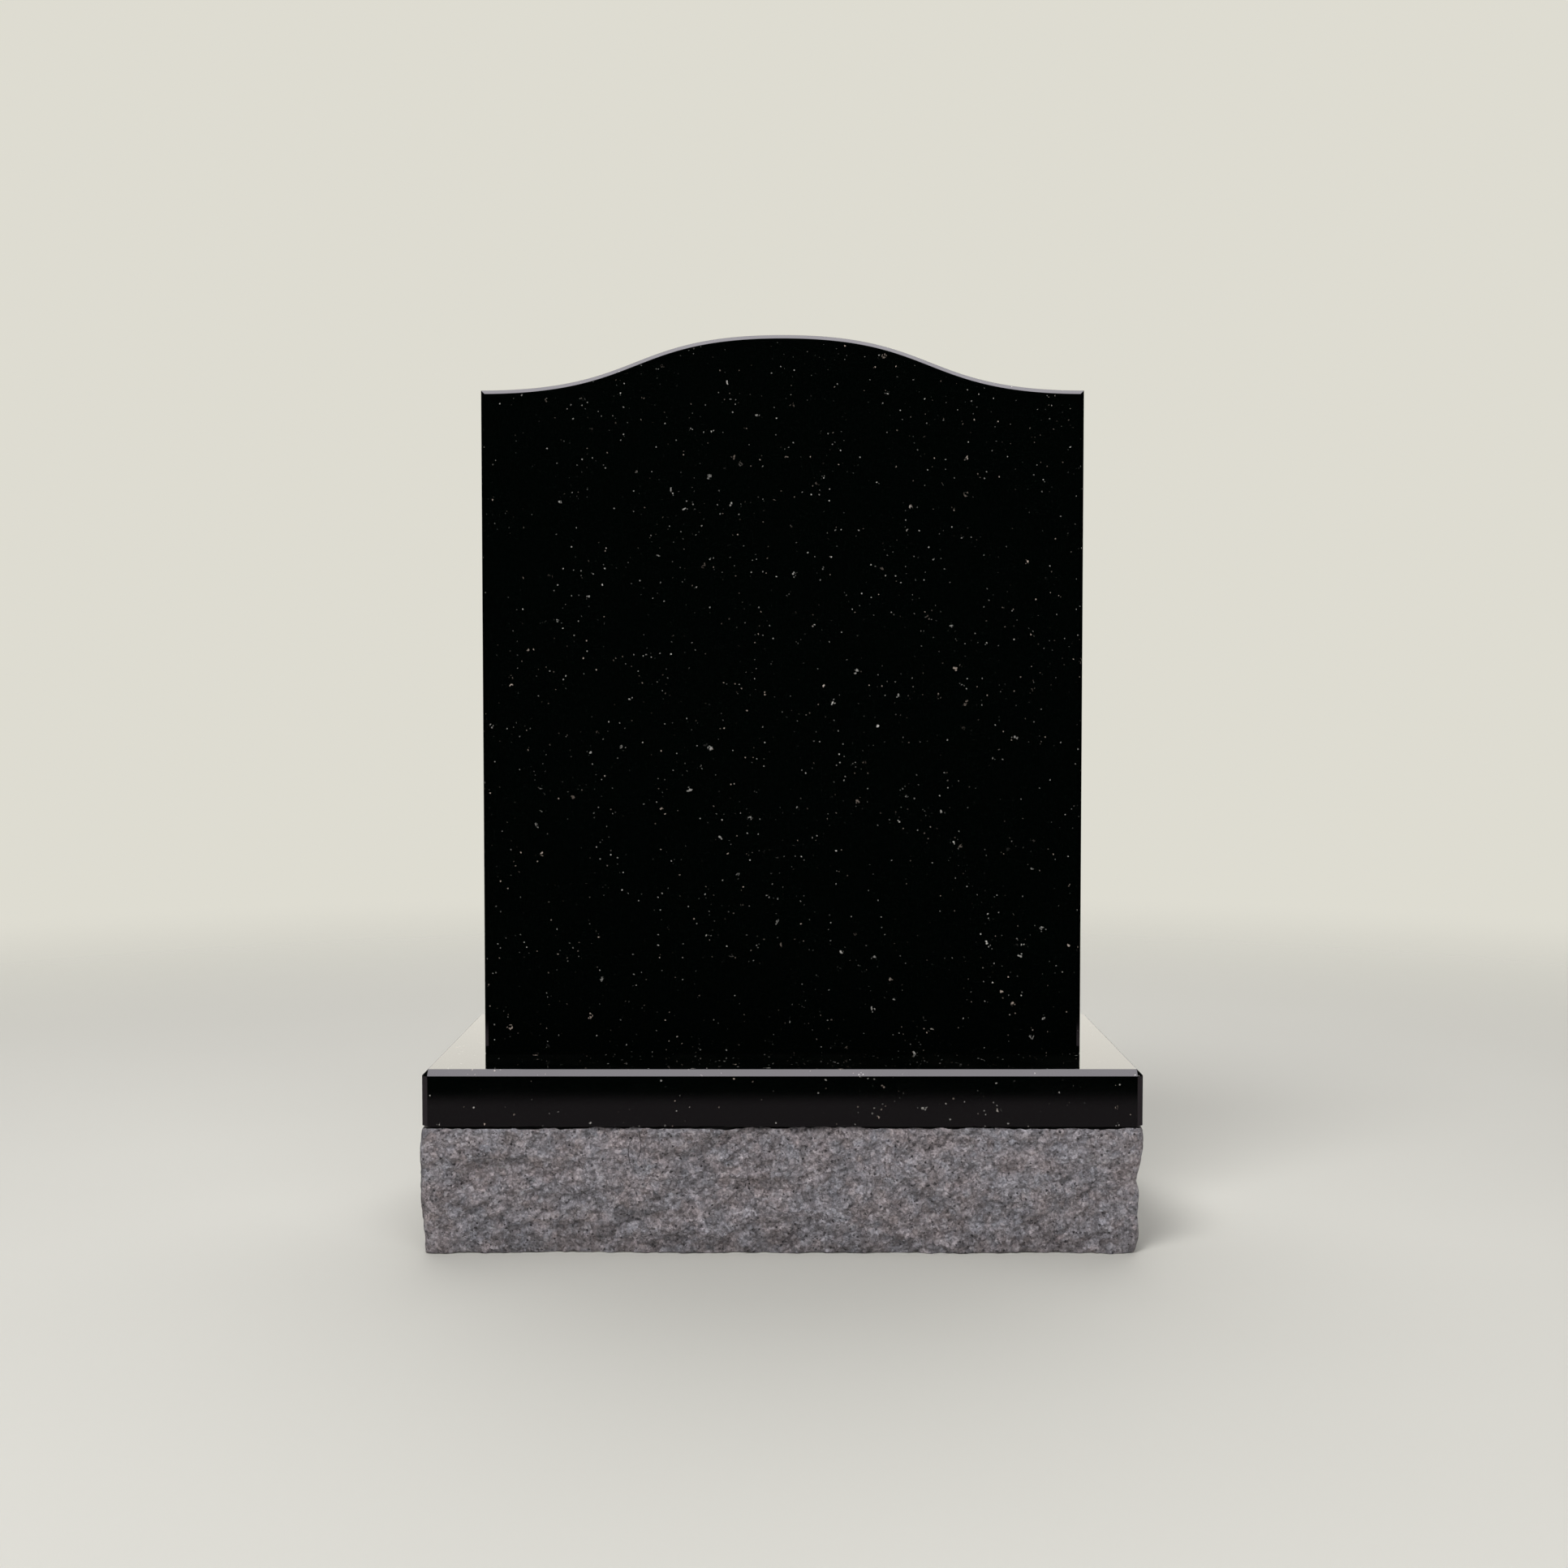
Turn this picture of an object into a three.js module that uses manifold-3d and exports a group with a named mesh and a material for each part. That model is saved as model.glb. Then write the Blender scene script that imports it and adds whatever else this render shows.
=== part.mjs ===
// An upright headstone in three stones. A polished black tablet with a serpentine top stands on a
// polished black slab, and the slab lies on a grey granite footing whose four sides are rock-pitched,
// which means broken off with a pitching chisel and left rough.
// Millimetres, +Z up. The origin is the middle of the footing's underside, and the tablet's
// inscription face looks along -Y.

import * as THREE from "three";
import { ConvexGeometry } from "three/addons/geometries/ConvexGeometry.js";
import { mergeVertices } from "three/addons/utils/BufferGeometryUtils.js";
import Module from "manifold-3d";

// Tablet
const tabletWidth = 603;
const tabletThickness = 170;
const shoulderHeight = 667; // from the slab to the flat shoulders
const crownRise = 55; // from the shoulders to the crown
const shoulderSweep = 163; // how long the serpentine curve stays level at a shoulder
const crownSweep = 157; // the same at the crown
const tabletArris = 4; // the 45 degree chamfer round both polished faces

// Slab
const slabWidth = 700;
const slabDepth = 340;
const slabHeight = 55;
const slabChamfer = 6;

// Footing
const footingHeight = 125;
const pitchedMargin = 1; // how far the mean rough face stands inside the slab's sides
const footingCorner = 9; // radius of the broken corners
const headBulge = 2.5; // how far the rough face stands out where it is fullest
const headLevel = 90; // and how high that is
const barrel = 13; // how far it would fall away from there over the footing's whole height
const roughLimit = 4; // no point of the rough face stands out further than this
const limitEase = 2; // points this near the limit are already held back a little
const facetLength = 92; // one split facet, along the stone and up it
const facetHeight = 58;
const facetSlope = 0.11; // steepest lean of a facet
const facetOffset = 2.2; // how far facets stand before or behind each other
const facetLean = 0.8; // the facets' edges climb to the right by this much for each mm up
const ridgeSharpness = 14; // how narrow the ridges between the facets are
const facetSeed = 28364; // which of the random sets of facets it is
const lumpSize = 26; // the lumps on the facets
const lumpHeight = 1.6;
const edgeCalm = 0.7; // the share of the relief that is left at the sawn top and at the ground
const pitchBevel = 5; // height of the chipped band under the sawn top
const chipDepth = 4; // how far the chips bite in there
const chipLength = 60; // a long chip and a short one
const chipletLength = 17;

// Fits and fineness
const bedJoint = 0.3; // the thin setting bed under the slab and under the tablet
const curveSteps = 44; // straight steps in each half of the serpentine curve
const roughStep = 13; // size of one face of the rough stone

const slabBottom = footingHeight + bedJoint;
const tabletBottom = slabBottom + slabHeight + bedJoint;

const wasm = await Module();
wasm.setup();

// A closed geometry as a solid that can be cut.
function solidOf(geometry) {
  const bare = geometry.clone();
  bare.deleteAttribute("normal");
  bare.deleteAttribute("uv");
  const merged = mergeVertices(bare, 1e-3);
  return new wasm.Manifold(
    new wasm.Mesh({
      numProp: 3,
      vertProperties: merged.getAttribute("position").array,
      triVerts: new Uint32Array(merged.index.array),
    }),
  );
}

// A cut solid as a geometry again.
function geometryOf(solid) {
  const mesh = solid.getMesh();
  const geometry = new THREE.BufferGeometry();
  geometry.setAttribute("position", new THREE.BufferAttribute(mesh.vertProperties, 3));
  geometry.setIndex(new THREE.BufferAttribute(mesh.triVerts, 1));
  geometry.computeVertexNormals();
  return geometry;
}

// Tablet: the serpentine outline, drawn in front view, from a given depth below the slab's top.
function serpentineOutline(footDepth) {
  const half = tabletWidth / 2;
  const crown = shoulderHeight + crownRise;
  const outline = new THREE.Shape();
  outline.moveTo(half, -footDepth);
  outline.lineTo(half, shoulderHeight);
  outline.bezierCurveTo(half - shoulderSweep, shoulderHeight, crownSweep, crown, 0, crown);
  outline.bezierCurveTo(-crownSweep, crown, -half + shoulderSweep, shoulderHeight, -half, shoulderHeight);
  outline.lineTo(-half, -footDepth);
  outline.closePath();
  return outline;
}

// The outline is extruded with an arris round both faces and sawn off flat at its foot, which has none.
function tabletGeometry() {
  const footDepth = 2 * tabletArris;
  const block = new THREE.ExtrudeGeometry(serpentineOutline(footDepth), {
    depth: tabletThickness - 2 * tabletArris,
    curveSegments: curveSteps,
    bevelThickness: tabletArris,
    bevelSize: tabletArris,
    bevelOffset: -tabletArris,
    bevelSegments: 1,
  });
  block.translate(0, 0, tabletArris - tabletThickness / 2);
  block.rotateX(Math.PI / 2);
  const waste = new THREE.BoxGeometry(2 * tabletWidth, 2 * tabletThickness, 2 * footDepth);
  waste.translate(0, 0, -footDepth);
  return geometryOf(solidOf(block).subtract(solidOf(waste)));
}

// Slab: a block whose top edges and upright corners are chamfered, so that three chamfers leave a
// small triangle at each top corner. Its underside is sawn square.
function slabGeometry() {
  const x = slabWidth / 2;
  const y = slabDepth / 2;
  const corners = [];
  for (const sx of [-1, 1]) {
    for (const sy of [-1, 1]) {
      corners.push(new THREE.Vector3(sx * (x - slabChamfer), sy * (y - slabChamfer), slabHeight));
      for (const z of [0, slabHeight - slabChamfer]) {
        corners.push(new THREE.Vector3(sx * x, sy * (y - slabChamfer), z));
        corners.push(new THREE.Vector3(sx * (x - slabChamfer), sy * y, z));
      }
    }
  }
  return new ConvexGeometry(corners);
}

// A repeatable random number from 0 to 1 for each point of a lattice. The large odd numbers only
// stir the bits.
function latticeValue(i, j, k, seed) {
  let h = Math.imul(i, 374761393) ^ Math.imul(j, 668265263) ^ Math.imul(k, 1274126177);
  h = Math.imul(h ^ Math.imul(seed, 974634777) ^ (h >>> 13), 1103515245);
  h = Math.imul(h ^ (h >>> 15), 2246822519);
  return ((h ^ (h >>> 16)) >>> 0) / 4294967296;
}

// Smooth lumps, from -1 to 1, about one unit across.
function lumps(x, y, z, seed) {
  const i = Math.floor(x);
  const j = Math.floor(y);
  const k = Math.floor(z);
  const ease = (t) => t * t * (3 - 2 * t);
  const [u, v, w] = [ease(x - i), ease(y - j), ease(z - k)];
  let sum = 0;
  for (const a of [0, 1]) {
    for (const b of [0, 1]) {
      for (const c of [0, 1]) {
        const share = (a ? u : 1 - u) * (b ? v : 1 - v) * (c ? w : 1 - w);
        sum += share * latticeValue(i + a, j + b, k + c, seed);
      }
    }
  }
  return 2 * sum - 1;
}

// Split facets: each cell of a jittered lattice is a plane with a lean and an offset of its own, and
// the nearest planes are blended over a narrow ridge. The result is in millimetres.
function facets(x, y, z) {
  const p = [(x - facetLean * z) / facetLength, (y - facetLean * z) / facetLength, z / facetHeight];
  const cell = p.map(Math.floor);
  let sum = 0;
  let weights = 0;
  for (const a of [-1, 0, 1]) {
    for (const b of [-1, 0, 1]) {
      for (const c of [-1, 0, 1]) {
        const at = [cell[0] + a, cell[1] + b, cell[2] + c];
        const away = at.map((n, axis) => p[axis] - n - latticeValue(...at, facetSeed + axis));
        const leans = at.map((_, axis) => 2 * latticeValue(...at, facetSeed + 3 + axis) - 1);
        const offset = facetOffset * (2 * latticeValue(...at, facetSeed + 6) - 1);
        const rise =
          facetLength * (leans[0] * away[0] + leans[1] * away[1]) + facetHeight * leans[2] * away[2];
        const weight = Math.exp(-ridgeSharpness * Math.hypot(...away));
        sum += weight * (offset + facetSlope * rise);
        weights += weight;
      }
    }
  }
  return sum / weights;
}

// Rounds off whatever stands out further than the limit, starting a little before it.
function limited(out) {
  const over = THREE.MathUtils.clamp(out - roughLimit + limitEase, 0, 2 * limitEase);
  return Math.min(out, roughLimit + limitEase) - (over * over) / (4 * limitEase);
}

// How far the rough face stands out from its mean plane at a point of it, in millimetres.
function roughRelief(x, y, z) {
  const swell = headBulge - barrel * ((z - headLevel) / footingHeight) ** 2;
  const calm = THREE.MathUtils.lerp(edgeCalm, 1, Math.sin((Math.PI * z) / footingHeight));
  const small = lumpHeight * lumps(x / lumpSize, y / lumpSize, z / lumpSize, 1);
  return limited(swell + calm * (facets(x, y, z) + small));
}

// How far the chips under the sawn top bite in, in millimetres.
function chipBite(x, y) {
  const long = lumps(x / chipLength, y / chipLength, 0.5, 2);
  const short = lumps(x / chipletLength, y / chipletLength, 0.5, 3);
  return chipDepth * THREE.MathUtils.clamp(0.5 + 0.5 * long + 0.35 * short, 0, 1);
}

// The footing's plan: points round it, each with the direction that looks straight out there.
function pitchedPlan() {
  const coreX = slabWidth / 2 - pitchedMargin - footingCorner;
  const coreY = slabDepth / 2 - pitchedMargin - footingCorner;
  const plan = new THREE.Shape();
  plan.absarc(coreX, coreY, footingCorner, 0, Math.PI / 2);
  plan.absarc(-coreX, coreY, footingCorner, Math.PI / 2, Math.PI);
  plan.absarc(-coreX, -coreY, footingCorner, Math.PI, 1.5 * Math.PI);
  plan.absarc(coreX, -coreY, footingCorner, 1.5 * Math.PI, 2 * Math.PI);
  plan.closePath();
  const columns = Math.round(plan.getLength() / roughStep);
  const corner = new THREE.Vector2(coreX, coreY);
  const opposite = corner.clone().negate();
  const points = plan.getSpacedPoints(columns).slice(0, columns);
  return points.map((at) => {
    const inside = at.clone().clamp(opposite, corner);
    return { at, outward: at.clone().sub(inside).normalize() };
  });
}

// Closes rings of points, one above another, into a skin with a flat bottom and a flat top.
function skinOfRings(rings) {
  const count = rings[0].length;
  const faces = [];
  for (let row = 0; row < rings.length - 1; row++) {
    for (let i = 0; i < count; i++) {
      const here = row * count + i;
      const next = row * count + ((i + 1) % count);
      faces.push(here, next, next + count, here, next + count, here + count);
    }
  }
  const flat = (ring) => THREE.ShapeUtils.triangulateShape(ring, []);
  const top = (rings.length - 1) * count;
  flat(rings[0]).forEach(([a, b, c]) => faces.push(a, c, b));
  flat(rings.at(-1)).forEach(([a, b, c]) => faces.push(top + a, top + b, top + c));
  const geometry = new THREE.BufferGeometry();
  geometry.setFromPoints(rings.flat());
  geometry.setIndex(faces);
  geometry.computeVertexNormals();
  return geometry;
}

// Footing: rings round the plan, each point pushed in or out by the relief. The top ring is chipped
// back, and the top and the underside are sawn flat.
function footingGeometry() {
  const plan = pitchedPlan();
  const roughTop = footingHeight - pitchBevel;
  const rows = Math.round(roughTop / roughStep);
  const ringAt = (z, biteAt) =>
    plan.map(({ at, outward }) => {
      const out = roughRelief(at.x, at.y, z) - biteAt(at.x, at.y);
      return new THREE.Vector3(at.x + outward.x * out, at.y + outward.y * out, z);
    });
  const rings = Array.from({ length: rows + 1 }, (_, row) => ringAt((roughTop * row) / rows, () => 0));
  rings.push(ringAt(footingHeight, chipBite));
  return skinOfRings(rings);
}

const polishedBlack = new THREE.MeshStandardMaterial({ color: 0x08090a, roughness: 0.08, metalness: 0 });
const roughGrey = new THREE.MeshStandardMaterial({ color: 0x918c90, roughness: 0.9, metalness: 0 });

const footing = new THREE.Mesh(footingGeometry(), roughGrey);
footing.name = "rock_pitched_footing";

const slab = new THREE.Mesh(slabGeometry(), polishedBlack);
slab.name = "polished_slab";
slab.position.z = slabBottom;

const tablet = new THREE.Mesh(tabletGeometry(), polishedBlack.clone());
tablet.name = "serpentine_tablet";
tablet.position.z = tabletBottom;

const headstone = new THREE.Group();
headstone.name = "headstone";
headstone.add(footing, slab, tablet);

export default headstone;
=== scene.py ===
"""Looks of an upright headstone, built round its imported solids.

Three stones stand on each other: a rock-pitched footing of grey granite, a polished slab of black
granite and a polished tablet of the same granite with a serpentine top. Lengths are in metres,
except where a name ends in _mm.
"""

import logging
from dataclasses import dataclass, field
from enum import Enum
from functools import reduce
from itertools import product
from math import cos, hypot, pi, radians, sin

import bmesh
import bpy
import numpy as np
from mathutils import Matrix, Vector


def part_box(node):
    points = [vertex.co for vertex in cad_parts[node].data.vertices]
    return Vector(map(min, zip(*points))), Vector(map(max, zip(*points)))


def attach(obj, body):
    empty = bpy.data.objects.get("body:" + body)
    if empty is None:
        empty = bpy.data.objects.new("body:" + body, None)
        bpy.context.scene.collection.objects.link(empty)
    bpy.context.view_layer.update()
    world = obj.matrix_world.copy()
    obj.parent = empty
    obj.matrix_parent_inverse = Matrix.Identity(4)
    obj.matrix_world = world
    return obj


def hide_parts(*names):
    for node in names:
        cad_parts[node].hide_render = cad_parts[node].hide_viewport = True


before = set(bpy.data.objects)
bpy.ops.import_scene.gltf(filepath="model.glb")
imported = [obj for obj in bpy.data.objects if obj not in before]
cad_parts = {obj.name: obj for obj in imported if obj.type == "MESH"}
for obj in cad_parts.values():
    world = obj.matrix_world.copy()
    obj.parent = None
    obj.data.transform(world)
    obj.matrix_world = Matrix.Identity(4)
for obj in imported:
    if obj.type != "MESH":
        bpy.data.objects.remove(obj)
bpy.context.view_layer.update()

MM = 0.001
CRISP_OVER = 5
EASED_OVER = 20
NEARLY_NONE = 0.01
LATTICE_KEYS = (374761393, 668265263, 1274126177)
SEED_KEY = 974634777
STIR_KEYS = (1103515245, 2246822519)
LOG = logging.getLogger("headstone")

Socket = bpy.types.NodeSocket
Outputs = bpy.types.NodeOutputs
Colour = tuple[float, float, float]
Place = tuple[float, float, float]
Spot = tuple[float, float]
Span = tuple[float, float]
Points = tuple[np.ndarray, np.ndarray, np.ndarray]
Feed = Socket | float | tuple[float, ...]
Feeds = dict[str | int, Feed]


def rgba(colour: Feed) -> Feed:
    """A plain colour with a full alpha, and a socket as it is."""
    return colour if isinstance(colour, Socket) else (*colour, 1.0)


def linked(name: str, data: bpy.types.ID) -> bpy.types.Object:
    """Makes an object and links it to the scene.

    Args:
        name: Its name.
        data: Its mesh, lamp or lens.

    Returns:
        The object.
    """
    item = bpy.data.objects.new(name, data)
    bpy.context.scene.collection.objects.link(item)
    return item


class Wiring:
    """Adds nodes to one tree and joins them from left to right."""

    def __init__(self, tree: bpy.types.NodeTree) -> None:
        """Starts on an empty tree.

        Args:
            tree: The node tree to fill. What it holds is removed.
        """
        tree.nodes.clear()
        self.tree = tree

    def node(self, kind: str, feeds: Feeds | None = None, **settings: object) -> bpy.types.Node:
        """Adds one node.

        Args:
            kind: Blender's name for the node.
            feeds: What goes into its inputs: a socket is joined, and a plain value is set.
            **settings: The node's own options.

        Returns:
            The node.
        """
        node = self.tree.nodes.new(kind)
        for name, value in settings.items():
            setattr(node, name, value)
        for key, value in (feeds or {}).items():
            if isinstance(value, Socket):
                self.tree.links.new(value, node.inputs[key])
            else:
                node.inputs[key].default_value = value
        return node

    def sum(self, operation: str, first: Feed, second: Feed = 0.0, third: Feed = 0.0) -> Socket:
        """One arithmetic step on numbers."""
        feeds = {0: first, 1: second, 2: third}
        return self.node("ShaderNodeMath", feeds, operation=operation).outputs[0]

    def product(self, *factors: Feed) -> Socket:
        """Multiplies numbers, from left to right."""
        return reduce(lambda so_far, factor: self.sum("MULTIPLY", so_far, factor), factors)

    def vector_sum(self, operation: str, first: Feed, second: Feed) -> Socket:
        """One arithmetic step on vectors."""
        feeds = {0: first, 1: second}
        return self.node("ShaderNodeVectorMath", feeds, operation=operation).outputs[0]

    def measure(self, operation: str, first: Feed, second: Feed = (0.0, 0.0, 0.0)) -> Socket:
        """One arithmetic step that makes a number from vectors."""
        feeds = {0: first, 1: second}
        return self.node("ShaderNodeVectorMath", feeds, operation=operation).outputs["Value"]

    def scaled(self, vector: Feed, factor: Feed) -> Socket:
        """A vector times a number."""
        feeds = {0: vector, "Scale": factor}
        return self.node("ShaderNodeVectorMath", feeds, operation="SCALE").outputs[0]

    def axes(self, vector: Feed) -> Outputs:
        """The X, Y and Z of a vector."""
        return self.node("ShaderNodeSeparateXYZ", {0: vector}).outputs

    def ramp(
        self, value: Feed, start: Feed, end: Feed, low: Feed = 0.0, high: Feed = 1.0
    ) -> Socket:
        """Eases from low to high while a value goes from start to end.

        Args:
            value: The number that is followed.
            start: Where the easing starts.
            end: Where it ends.
            low: The result up to the start.
            high: The result past the end.

        Returns:
            The eased number.
        """
        feeds = {"Value": value, 1: start, 2: end, 3: low, 4: high}
        return self.node("ShaderNodeMapRange", feeds, interpolation_type="SMOOTHSTEP").outputs[0]

    def between(self, share: Feed, low: Feed, high: Feed) -> Socket:
        """Eases from low to high while a share goes from 0 to 1."""
        return self.ramp(share, 0.0, 1.0, low, high)

    def window(self, value: Feed, rise: Span, fall: Span) -> Socket:
        """Where a value lies past its rise and short of its fall, with soft edges."""
        return self.product(self.ramp(value, *rise), self.ramp(value, *fall, 1.0, 0.0))

    def noise(self, place: Feed, scale: Feed, detail: Feed, **others: Feed) -> Outputs:
        """Smooth noise.

        Args:
            place: Each point's place.
            scale: How fine it is.
            detail: How many finer layers lie on it.
            **others: Its other inputs by name.

        Returns:
            Its outputs: one number, then three unlike numbers as a colour.
        """
        feeds = {"Vector": place, "Scale": scale, "Detail": detail, **others}
        return self.node("ShaderNodeTexNoise", feeds).outputs

    def bent(self, place: Feed, scale: Feed, detail: Feed, reach: Feed) -> Socket:
        """Shifts each place by noise, so that straight outlines become uneven.

        Args:
            place: Each point's place.
            scale: How fine the noise is.
            detail: How many finer layers lie on it.
            reach: The width of the range that the shift is drawn from.

        Returns:
            The shifted places.
        """
        drift = self.vector_sum("SUBTRACT", self.noise(place, scale, detail)[1], (0.5, 0.5, 0.5))
        return self.vector_sum("ADD", place, self.scaled(drift, reach))

    def cells(self, place: Feed, size: Feed, **settings: object) -> Outputs:
        """Cells round scattered points.

        Args:
            place: Each point's place.
            size: Their mean size.
            **settings: The node's own options.

        Returns:
            The cell's outputs.
        """
        feeds = {"Vector": place, "Scale": self.sum("DIVIDE", 1.0, size), "Randomness": 1.0}
        return self.node("ShaderNodeTexVoronoi", feeds, **settings).outputs

    def chance(self, cell: Feed, draw: int) -> Socket:
        """Draws a random number from 0 to 1 for a cell of a pattern.

        Args:
            cell: The cell's own colour, which alone would follow its place in the pattern.
            draw: Which draw it is. Draws with other numbers are unlike it.

        Returns:
            The number, the same all over the cell.
        """
        weights = (47.3 + 31.7 * draw, 89.1 - 13.3 * draw, 61.9 + 17.9 * draw)
        return self.sum("FRACT", self.measure("DOT_PRODUCT", cell, weights))

    def blend(self, amount: Feed, base: Feed, top: Feed, way: str = "MIX") -> Socket:
        """Lays one colour over another.

        Args:
            amount: How much of the top colour shows, from 0 to 1.
            base: The colour underneath.
            top: The colour laid over it.
            way: Blender's name for the way of blending.

        Returns:
            The blended colour.
        """
        feeds = {0: amount, 6: rgba(base), 7: rgba(top)}
        return self.node("ShaderNodeMix", feeds, data_type="RGBA", blend_type=way).outputs[2]


class SocketKind(Enum):
    """What a group's socket carries."""

    NUMBER = "NodeSocketFloat"
    PLACE = "NodeSocketVector"


class Effect:
    """A node group that is built once and placed in every material that needs it."""

    title = ""
    takes: dict[SocketKind, tuple[str, ...]] = {}
    gives: tuple[str, ...] = ()

    def wire(self, wiring: Wiring, given: Outputs) -> Feeds:
        """Fills the group. Each effect has its own."""
        raise NotImplementedError

    def group(self) -> bpy.types.NodeTree:
        """Makes the group on its first use.

        Returns:
            The finished group.
        """
        found = bpy.data.node_groups.get(self.title)
        if found:
            return found
        tree = bpy.data.node_groups.new(self.title, "ShaderNodeTree")
        ways = [("INPUT", kind, names) for kind, names in self.takes.items()]
        for way, kind, names in [*ways, ("OUTPUT", SocketKind.NUMBER, self.gives)]:
            for name in names:
                tree.interface.new_socket(name, in_out=way, socket_type=kind.value)
        wiring = Wiring(tree)
        wiring.node("NodeGroupOutput", self.wire(wiring, wiring.node("NodeGroupInput").outputs))
        return tree

    def place(self, wiring: Wiring, **feeds: Feed) -> Outputs:
        """Puts the group into a tree.

        Args:
            wiring: The tree that gets it.
            **feeds: Its inputs by name.

        Returns:
            The group's outputs.
        """
        return wiring.node("ShaderNodeGroup", dict(feeds), node_tree=self.group()).outputs


class Clouds(Effect):
    """Soft, irregular patches, such as a stone's colour drift."""

    title = "stone clouds"
    takes = {SocketKind.PLACE: ("Place",), SocketKind.NUMBER: ("Size", "Detail", "Start", "End")}
    gives = ("Mask", "Height")

    def wire(self, wiring: Wiring, given: Outputs) -> Feeds:
        """Noise of a given size, and the same noise sharpened into patches.

        Args:
            wiring: The group's nodes.
            given: The group's inputs.

        Returns:
            The group's outputs.
        """
        scale = wiring.sum("DIVIDE", 1.0, given["Size"])
        height = wiring.noise(given["Place"], scale, given["Detail"], Roughness=0.6)[0]
        return {"Mask": wiring.ramp(height, given["Start"], given["End"]), "Height": height}


class Crystals(Effect):
    """Separate mineral grains, each with its own size and shade."""

    title = "mineral crystals"
    takes = {
        SocketKind.PLACE: ("Place",),
        SocketKind.NUMBER: ("Spacing", "Radius", "Share", "Ragged", "Broken"),
    }
    gives = ("Mask", "Shade", "Tint")
    solid_core: float = 0.75
    bend_scale: float = 0.8
    bits_scale: float = 1.2

    def wire(self, wiring: Wiring, given: Outputs) -> Feeds:
        """Grains round scattered points.

        Ragged bends their outlines, and Broken leaves only bits of them.

        Args:
            wiring: The group's nodes.
            given: The group's inputs.

        Returns:
            The group's outputs.
        """
        radius = given["Radius"]
        reach = wiring.product(given["Ragged"], radius)
        fineness = wiring.sum("DIVIDE", self.bend_scale, radius)
        ragged = wiring.bent(given["Place"], fineness, 1.0, reach)
        cell = wiring.cells(ragged, given["Spacing"])
        present, growth, shade, tint = (wiring.chance(cell["Color"], draw) for draw in range(4))
        away = wiring.product(cell["Distance"], given["Spacing"])
        edge = wiring.product(wiring.between(growth, low=0.4, high=1.35), radius)
        grain = wiring.ramp(away, wiring.product(edge, self.solid_core), edge, 1.0, 0.0)
        shown = wiring.sum("LESS_THAN", present, given["Share"])
        fineness = wiring.sum("DIVIDE", self.bits_scale, radius)
        bits = wiring.noise(given["Place"], fineness, 0.0)[0]
        kept = wiring.ramp(wiring.sum("SUBTRACT", bits, given["Broken"]), start=-0.02, end=0.05)
        return {"Mask": wiring.product(grain, shown, kept), "Shade": shade, "Tint": tint}


class Wisps(Effect):
    """Thin, bent streaks of lighter and darker grain."""

    title = "mineral wisps"
    takes = {SocketKind.PLACE: ("Place",), SocketKind.NUMBER: ("Size",)}
    gives = ("Mask",)

    def wire(self, wiring: Wiring, given: Outputs) -> Feeds:
        """Noise that is strongly bent by itself.

        Args:
            wiring: The group's nodes.
            given: The group's inputs.

        Returns:
            The group's output.
        """
        scale = wiring.sum("DIVIDE", 1.0, given["Size"])
        streaks = wiring.noise(given["Place"], scale, 3.0, Roughness=0.7, Distortion=1.6)[0]
        return {"Mask": wiring.ramp(streaks, start=0.3, end=0.7)}


class Mosaic(Effect):
    """Stone split into small flat chips, each with its own shade and lean."""

    title = "chip mosaic"
    takes = {SocketKind.PLACE: ("Place",), SocketKind.NUMBER: ("Size", "Warp")}
    gives = ("Shade", "Tint", "Lean", "Edge")
    bend_scale: float = 1.3

    def wire(self, wiring: Wiring, given: Outputs) -> Feeds:
        """Cells round scattered points, bent by noise.

        Lean is a flat tilted facet for each cell, and Edge is the gap round some of them.

        Args:
            wiring: The group's nodes.
            given: The group's inputs.

        Returns:
            The group's outputs.
        """
        size = given["Size"]
        fineness = wiring.sum("DIVIDE", self.bend_scale, size)
        bent = wiring.bent(given["Place"], fineness, 3.0, given["Warp"])
        cell = wiring.cells(bent, size)
        shade, tint, open_gap, *turn = (wiring.chance(cell["Color"], draw) for draw in range(6))
        tilt = wiring.node("ShaderNodeCombineXYZ", dict(enumerate(turn))).outputs[0]
        slope = wiring.vector_sum("SUBTRACT", tilt, (0.5, 0.5, 0.5))
        across = wiring.vector_sum("SUBTRACT", bent, cell["Position"])
        border = wiring.cells(bent, size, feature="DISTANCE_TO_EDGE")["Distance"]
        near = wiring.ramp(border, start=0.0, end=0.13, low=1.0, high=0.0)
        return {
            "Shade": shade,
            "Tint": tint,
            "Lean": wiring.measure("DOT_PRODUCT", across, slope),
            "Edge": wiring.product(near, wiring.ramp(open_gap, start=0.35, end=0.8)),
        }


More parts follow.
